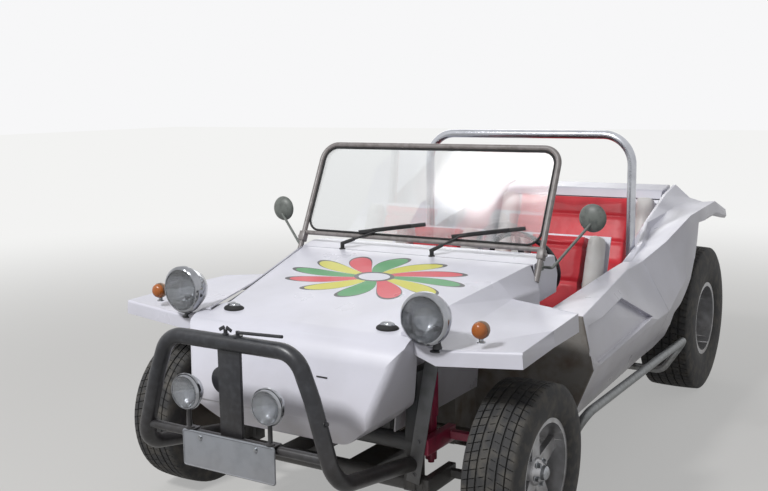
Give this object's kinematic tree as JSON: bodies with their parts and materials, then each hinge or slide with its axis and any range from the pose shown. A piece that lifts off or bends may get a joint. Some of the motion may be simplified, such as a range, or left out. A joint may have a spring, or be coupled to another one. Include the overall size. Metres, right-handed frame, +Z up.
{
  "type": "dune buggy",
  "caption": "Open four-seat beach buggy with a glass-fibre body, bull bar, roll bar, steered front wheels and a rear engine.",
  "frame": {"origin": "on the ground under the middle of the vehicle", "axes": "+X to the vehicle's left, +Y towards its tail, +Z up"},
  "size_m": [1.764, 3.828, 1.4549],
  "materials": {
    "glass_fibre": "gloss gel coat",
    "pan_steel": "matt underbody paint",
    "beam_paint": "brushed-on dark paint",
    "damper_paint": "gloss",
    "black_paint": "satin",
    "cast_aluminium": "as cast",
    "exhaust_steel": "rusted",
    "bar_steel": "dull galvanised",
    "plate_paint": "flat enamel",
    "lamp_chrome": "polished",
    "amber_plastic": "clear amber",
    "frame_paint": "satin",
    "glass": "clear",
    "mirror_paint": "satin",
    "polished_steel": "polished",
    "red_vinyl": "smooth vinyl",
    "white_vinyl": "smooth vinyl",
    "red_plastic": "lens",
    "black_plastic": "grained",
    "alloy": "cast and machined",
    "tyre_rubber": "dusty"
  },
  "bodies": {
    "chassis": {"bonnet": "glass_fibre", "front_fender_left": "glass_fibre", "front_fender_right": "glass_fibre", "cowl": "glass_fibre", "instruments": "black_plastic", "front_bulkhead": "glass_fibre", "side_left": "glass_fibre", "side_right": "glass_fibre", "rear_quarter_left": "glass_fibre", "rear_quarter_right": "glass_fibre", "rear_bulkhead": "glass_fibre", "rear_deck": "glass_fibre", "floorpan": "pan_steel", "front_beam": "beam_paint", "front_dampers": "damper_paint", "steering_column": "black_paint", "gearbox": "cast_aluminium", "rear_axle": "pan_steel", "rear_dampers": "damper_paint", "engine": "cast_aluminium", "fan_shroud": "black_paint", "generator_drive": "cast_aluminium", "intake": "black_paint", "exhaust": "exhaust_steel", "side_bars": "bar_steel", "bull_bar": "black_paint", "front_plate": "plate_paint", "aux_lamps": "lamp_chrome", "headlamps": "lamp_chrome", "turn_signals": "amber_plastic", "windscreen_frame": "frame_paint", "windscreen_glass": "glass", "wipers": "black_paint", "mirrors": "mirror_paint", "roll_bar": "polished_steel", "seat_shells": "glass_fibre", "seat_pads": "red_vinyl", "seat_bolsters": "white_vinyl", "rear_bench": "red_vinyl", "controls": "black_paint", "tail_lamps": "red_plastic"},
    "knuckle_left": {"knuckle_left": "pan_steel"},
    "knuckle_right": {"knuckle_right": "pan_steel"},
    "track_rod": {"track_rod": "pan_steel"},
    "steering_wheel": {"steering_wheel": "black_plastic"},
    "wheel_front_left": {"rim_front_left": "alloy", "tyre_front_left": "tyre_rubber"},
    "wheel_front_right": {"rim_front_right": "alloy", "tyre_front_right": "tyre_rubber"},
    "wheel_rear_left": {"rim_rear_left": "alloy", "tyre_rear_left": "tyre_rubber"},
    "wheel_rear_right": {"rim_rear_right": "alloy", "tyre_rear_right": "tyre_rubber"}
  },
  "joints": [
    {"name": "steer_left", "type": "hinge", "parent": "chassis", "child": "knuckle_left", "pos_m": [0.575, -1.186, 0.32], "axis": [0, 0, 1], "range_deg": [-30, 30]},
    {"name": "steer_right", "type": "hinge", "parent": "chassis", "child": "knuckle_right", "pos_m": [-0.575, -1.186, 0.32], "axis": [0, 0, 1], "range_deg": [-31, 31]},
    {"name": "rod_slide", "type": "slide", "parent": "chassis", "child": "track_rod", "axis": [-1, 0, 0], "range_m": [-0.067, 0.067]},
    {"name": "steering_turn", "type": "hinge", "parent": "chassis", "child": "steering_wheel", "pos_m": [0.33, -0.281, 0.862], "axis": [0.0908, 0.891, 0.4449], "range_deg": [-425, 425]},
    {"name": "roll_front_left", "type": "hinge", "parent": "knuckle_left", "child": "wheel_front_left", "pos_m": [0.76, -1.186, 0.32], "axis": [1, 0, 0], "continuous": true},
    {"name": "roll_front_right", "type": "hinge", "parent": "knuckle_right", "child": "wheel_front_right", "pos_m": [-0.76, -1.186, 0.32], "axis": [1, 0, 0], "continuous": true},
    {"name": "roll_rear_left", "type": "hinge", "parent": "chassis", "child": "wheel_rear_left", "pos_m": [0.652, 1.214, 0.396], "axis": [1, 0, 0], "continuous": true},
    {"name": "roll_rear_right", "type": "hinge", "parent": "chassis", "child": "wheel_rear_right", "pos_m": [-0.652, 1.214, 0.396], "axis": [1, 0, 0], "continuous": true}
  ],
  "couplings": [
    {"joint": "steer_right", "follows": "steer_left", "ratio": 1},
    {"joint": "rod_slide", "follows": "steer_left", "m_per_rad": 0.125},
    {"joint": "steering_turn", "follows": "steer_left", "ratio": 14}
  ]
}
